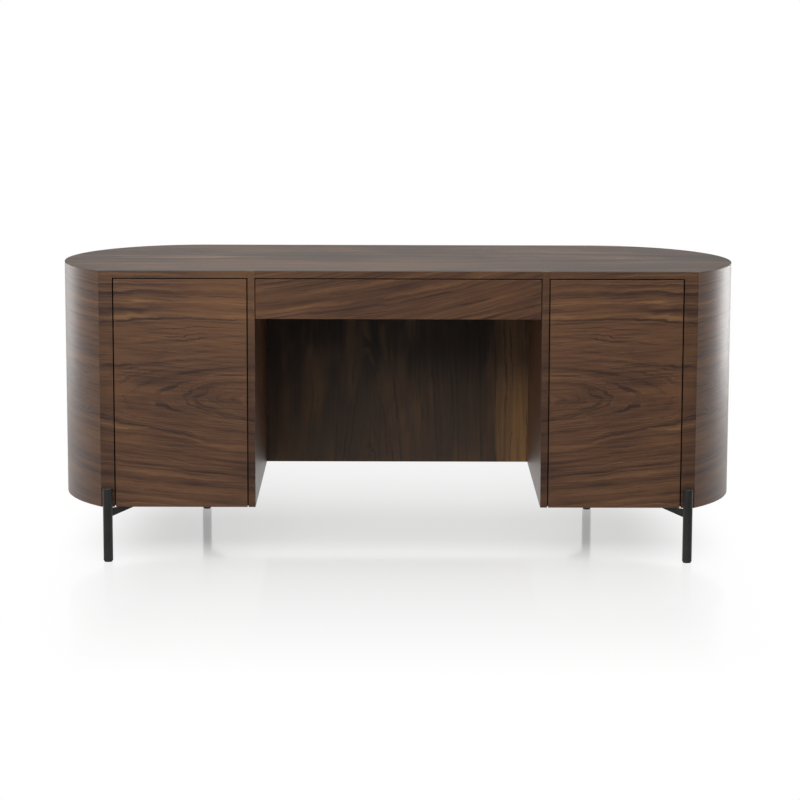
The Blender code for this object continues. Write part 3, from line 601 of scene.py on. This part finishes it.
bpy.ops.object.select_all(action="DESELECT")
bpy.ops.mesh.primitive_cube_add(size=1, location=(0, 0, head_height))
recess = bpy.context.object
recess.scale = (recess_length, recess_width, recess_height)
bpy.ops.object.transform_apply()
bpy.ops.object.mode_set(mode="EDIT")
bpy.ops.mesh.duplicate()
bpy.ops.transform.rotate(value=pi / 2, orient_axis="Z", center_override=(0, 0, 0))
bpy.ops.object.mode_set(mode="OBJECT")
bpy.ops.object.select_all(action="DESELECT")
screw.select_set(True)
bpy.context.view_layer.objects.active = screw
cross = screw.modifiers.new("cross_recess", "BOOLEAN")
cross.object = recess
cross.solver = "EXACT"
cross.use_self = True
bpy.ops.object.modifier_apply(modifier="cross_recess")
bpy.ops.object.shade_smooth_by_angle(angle=round_smoothing)
bpy.data.objects.remove(recess)


def fixed(name, model, place, outwards, body, slot, finish):
    """A copy of a model at its place, with its upper end turned outwards."""
    piece = bpy.data.objects.new(name, model.data.copy())
    bpy.context.scene.collection.objects.link(piece)
    turn = Vector((0, 0, 1)).rotation_difference(Vector(outwards)).to_matrix().to_4x4()
    piece.data.transform(Matrix.Translation(Vector(place)) @ turn)
    finished(piece, slot, body, finish)


hinge_heights = (("lower", 0.2275), ("upper", 0.656))
arm_face_reach, arm_front, arm_length, arm_screw_shares = 0.7279, -0.298, 0.042, (0.28, 0.78)
cup_screw_reach, cup_flange_back, cup_screw_spacing = 0.7145, -0.3307, 0.043
for side, sign in (("left", -1), ("right", 1)):
    for level, height in hinge_heights:
        for number, share in enumerate(arm_screw_shares):
            fixed(f"{side}_{level}_arm_screw_{number + 1}", screw,
                  (sign * arm_face_reach, arm_front + arm_length * share, height), (-sign, 0, 0),
                  "casing", "zinc_plated_steel", zinc_plate)
            fixed(f"{side}_{level}_cup_screw_{number + 1}", screw,
                  (sign * cup_screw_reach, cup_flange_back,
                   height + (number - 0.5) * cup_screw_spacing), (0, 1, 0),
                  side + "_door", "zinc_plated_steel", zinc_plate)


# Doors. Veneered boards of 18 mm, a matched pair with the streaks mirrored, set in flush with a gap
# of 3 mm all round. Domed rubber bumpers, stuck on the back, stop them.

bumper_radius, bumper_height, bumper_rounding, bumper_facets = 0.004, 0.0019, 0.0014, 32
door_back, bumper_level, bumper_reaches = -0.332, 0.1515, (("free", 0.4225), ("hinge", 0.7075))

# The doors' edges take painted shade, a dark colour, so the gaps round them read black.
door_veneer = walnut("walnut_veneer_book_matched", level_on_front, front_tones, edge=painted_gap_shade,
                     **front_leaf)
for name in ("left_door", "right_door"):
    cad[name].data.materials[0] = door_veneer


def moulded(name, tones, grain, detail, rough, relief, ior):
    """A moulded part with the matt grain of its mould, of this count to the metre."""
    finish, tree = new_finish(name)
    place = add(tree, "TexCoord", out="Object")
    speckle = add(tree, "TexNoise", {"Vector": place, "Scale": grain, "Detail": detail})
    colour = add(tree, "ValToRGB", (speckle,), stops=tones)
    sheen = add(tree, "MapRange", (speckle, 0.3, 0.7, *rough))
    bump = add(tree, "Bump", {"Height": speckle, "Strength": relief, "Distance": 0.0001})
    shader = add(tree, "BsdfPrincipled", {"Base Color": colour, "Roughness": sheen, "IOR": ior,
                                          "Normal": bump})
    add(tree, "OutputMaterial", (shader,))
    return finish


# Rubber is matt and nearly black. Its grain is 0.1 mm and drawn 0.7 mm wide, to show.
rubber = moulded("black_bumper_rubber", ((0.3, "#151515"), (0.7, "#242423")), grain=1500.0,
                 detail=3.0, rough=(0.55, 0.75), relief=0.2, ior=1.52)

bpy.ops.object.select_all(action="DESELECT")
bpy.ops.mesh.primitive_cylinder_add(vertices=bumper_facets, radius=bumper_radius,
                                    depth=bumper_height, location=(0, 0, bumper_height / 2))
bumper = bpy.context.object
bumper.name = "door_bumper"
bpy.ops.object.transform_apply()
bpy.ops.object.mode_set(mode="EDIT")
bpy.ops.mesh.select_mode(type="FACE")
pick_faces(bumper, 1)
bpy.ops.mesh.bevel(offset=bumper_rounding, segments=5, affect="EDGES")
bpy.ops.object.mode_set(mode="OBJECT")
bpy.ops.object.shade_smooth_by_angle(angle=round_smoothing)
for side, sign in (("left", -1), ("right", 1)):
    for end, reach in bumper_reaches:
        fixed(f"{side}_door_{end}_end_bumper", bumper, (sign * reach, door_back, bumper_level),
              (0, 1, 0), side + "_door", "black_nylon", rubber)


# Legs. Each is a solid round bar with a slanting flat web and a screw plate, welded together,
# blasted and powder-coated in charcoal. Three screws hold each to the casing's underside.

# The coat is satin. Its orange peel is 1.5 mm across, and dims the highlights unevenly.
coat, tree = new_finish("charcoal_powder_coat_satin")
place = add(tree, "TexCoord", out="Object")
peel = add(tree, "TexNoise", {"Vector": place, "Scale": 650.0, "Detail": 2.0})
cloudy = add(tree, "TexNoise", {"Vector": place, "Scale": 30.0, "Detail": 2.0})
colour = add(tree, "ValToRGB", (cloudy,), stops=((0.3, "#242423"), (0.7, "#2C2C2B")))
sheen = add(tree, "MapRange", (peel, 0.3, 0.7, 0.40, 0.50))
bump = add(tree, "Bump", {"Height": peel, "Strength": 0.25, "Distance": 0.0002})
shader = add(tree, "BsdfPrincipled", {"Base Color": colour, "Roughness": sheen, "IOR": 1.5,
                                      "Normal": bump})
add(tree, "OutputMaterial", (shader,))
for name in ("front_left_leg", "front_right_leg", "back_left_leg", "back_right_leg"):
    cad[name].data.materials[0] = coat

leg_reaches, casing_face, plate_under = {"front": 0.757, "back": 0.546}, 0.350, 0.1392
plate_start, plate_length = 0.032, 0.060        # from the leg towards the middle of the desk
plate_front, plate_width = 0.022, 0.053         # from the casing's face inwards
plate_screw_shares = ((0.20, 0.55), (0.80, 0.80), (0.90, 0.15))
for row, inwards in (("front", 1), ("back", -1)):
    for side, sign in (("left", -1), ("right", 1)):
        for number, (length_share, width_share) in enumerate(plate_screw_shares):
            from_middle = leg_reaches[row] - plate_start - plate_length * length_share
            from_face = plate_front + plate_width * width_share
            fixed(f"{row}_{side}_plate_screw_{number + 1}", screw,
                  (sign * from_middle, inwards * (from_face - casing_face), plate_under),
                  (0, 0, -1), "casing", "zinc_plated_steel", zinc_plate)


# Glides. Moulded black nylon with a stem, pressed into the foot of each leg, which the desk slides
# on without marking the floor.

# Nylon is black with a dull sheen. Its mould's grain is 0.1 mm and drawn 0.8 mm wide, to show.
nylon = moulded("moulded_black_nylon", ((0.3, "#161616"), (0.7, "#1F1F1E")), grain=1200.0,
                detail=2.0, rough=(0.50, 0.66), relief=0.3, ior=1.53)
for name in ("front_left_glide", "front_right_glide", "back_left_glide", "back_right_glide"):
    cad[name].data.materials[0] = nylon


# Runners. Three channels each, rolled from zinc-plated sheet, one in the other. The outer one is
# fixed to the gable, the inner one to the drawer's side.

# Rolled zinc is a dull grey gloss. Its lines are 0.1 mm apart and drawn 2 mm apart, to show.
rolled_zinc = metal("rolled_zinc_plated_sheet",
                    ((0.3, "#94989D"), (0.6, "#AFB3B6"), (0.75, "#BAB8AC")),
                    counts=(400.0, 18.0, 500.0), rough=(0.28, 0.42), relief=0.12)
for side in ("left", "right"):
    for channel in ("cabinet", "middle", "drawer"):
        cad[f"{side}_runner_{channel}_channel"].data.materials[0] = rolled_zinc


# Drawer. A box of clear-lacquered birch plywood, grooved for its bottom. Nine plies of 1.4 mm show
# on its edges. The walnut front, whose streaks rise to the right, is screwed on from inside.

ply_thickness = 0.0014
figure_count, figure_count_along, fleck_finer = 60.0, 4.0, 9.0      # to the metre


def plywood(name, stack, grain):
    """Birch plywood under clear lacquer: pale honey faces, and edges striped by dark glue lines.

    stack picks the axis through the plies, grain the one along the face's grain.
    """
    finish, tree = new_finish(name)
    place = add(tree, "TexCoord", out="Object")
    counts = [figure_count] * 3
    counts[grain] = figure_count_along
    stretched = add(tree, "VectorMath", (place, counts), operation="MULTIPLY")
    figure = add(tree, "TexNoise", {"Vector": stretched, "Scale": 1.0, "Detail": 5.0,
                                    "Roughness": 0.6})
    stretched = add(tree, "VectorMath", (place, [fleck_finer * count for count in counts]),
                    operation="MULTIPLY")
    fleck = add(tree, "TexNoise", {"Vector": stretched, "Scale": 1.0, "Detail": 2.0})
    tone = add(tree, "Math", (figure, 0.65), operation="MULTIPLY")
    tone = add(tree, "Math", (fleck, 0.35, tone), operation="MULTIPLY_ADD")
    face = add(tree, "ValToRGB", (tone,),
               stops=((0.32, "#B4905F"), (0.50, "#CBAA79"), (0.68, "#DABF92")))
    through = add(tree, "SeparateXYZ", (place,), out=stack)
    ply = add(tree, "Math", (through, 1 / (2 * ply_thickness)), operation="MULTIPLY")
    ply = add(tree, "Math", (ply,), operation="FRACT")
    ply = add(tree, "Math", (fleck, 0.25, ply), operation="MULTIPLY_ADD")
    edge = add(tree, "ValToRGB", (ply,),
               stops=((0.10, "#8A6238"), (0.18, "#C6A16C"), (0.55, "#CDAA77"), (0.66, "#7E5A33"),
                      (0.74, "#A98352"), (1.0, "#A07A4B")))
    facing = add(tree, "SeparateXYZ", (add(tree, "TexCoord", out="Normal"),), out=stack)
    facing = add(tree, "Math", (facing,), operation="ABSOLUTE")
    on_face = add(tree, "Math", (facing, mainly), operation="GREATER_THAN")
    wood = add(tree, "Mix", {0: on_face, 6: edge, 7: face}, out=2, data_type="RGBA")
    sheen = add(tree, "MapRange", (tone, 0.3, 0.7, 0.42, 0.55))
    bump = add(tree, "Bump", {"Height": tone, "Strength": 0.15, "Distance": 0.0002})
    shader = add(tree, "BsdfPrincipled", {"Base Color": wood, "Roughness": sheen, "IOR": 1.5,
                                          "Normal": bump})
    add(tree, "OutputMaterial", (shader,))
    return finish


crosswise_ply = plywood("birch_plywood_crosswise", stack=1, grain=0)
endwise_ply = plywood("birch_plywood_endwise", stack=0, grain=1)
lying_ply = plywood("birch_plywood_lying", stack=2, grain=0)
for name, ply in (("drawer_box_front", crosswise_ply), ("drawer_back", crosswise_ply),
                  ("drawer_left_side", endwise_ply), ("drawer_right_side", endwise_ply),
                  ("drawer_bottom", lying_ply)):
    cad[name].data.materials[0] = ply

left_end, slope_at_left, slope_growth = 0.37, 0.10, 0.14        # the growth is to the metre
paler_to_left = (-0.36, 0.36)


def slanting(tree):
    """Along: the drawer front's width, with the streaks fanning upwards to the right."""
    place = add(tree, "TexCoord", out="Object")
    x, y, z = add(tree, "SeparateXYZ", (place,), out=slice(0, 3))
    run = add(tree, "Math", (x, left_end), operation="ADD")
    slope = add(tree, "Math", (run, slope_growth, slope_at_left), operation="MULTIPLY_ADD")
    lift = add(tree, "Math", (run, slope), operation="MULTIPLY")
    pale = add(tree, "MapRange", (x, *paler_to_left, 0.16, 0.0), **soft)
    return x, add(tree, "Math", (z, lift), operation="SUBTRACT"), y, pale


drawer_tones = ((0.30, "#311F17"), (0.42, "#472D20"), (0.52, "#583925"), (0.62, "#65442B"),
                (0.76, "#795533"))
# The drawer front's edges take painted shade, so the gaps round it read black.
drawer_veneer = walnut("walnut_veneer_drawer_front", slanting, drawer_tones, heart=0.40,
                       slice_depth=(-3.0, 3.0, 0.06), seed=7.9, ring=0.0085, contrast=0.85,
                       edge=painted_gap_shade)
for name in ("drawer_front", "drawer_head_rail"):
    cad[name].data.materials[0] = drawer_veneer

front_screw_reach, box_front_back = 0.2639, -0.3197
front_screw_heights = (("lower", 0.676), ("upper", 0.710))
for side, sign in (("left", -1), ("right", 1)):
    for level, height in front_screw_heights:
        fixed(f"drawer_front_screw_{side}_{level}", screw,
              (sign * front_screw_reach, box_front_back, height), (0, 1, 0),
              "drawer", "zinc_plated_steel", zinc_plate)

for model in (screw, bumper):
    bpy.data.objects.remove(model)
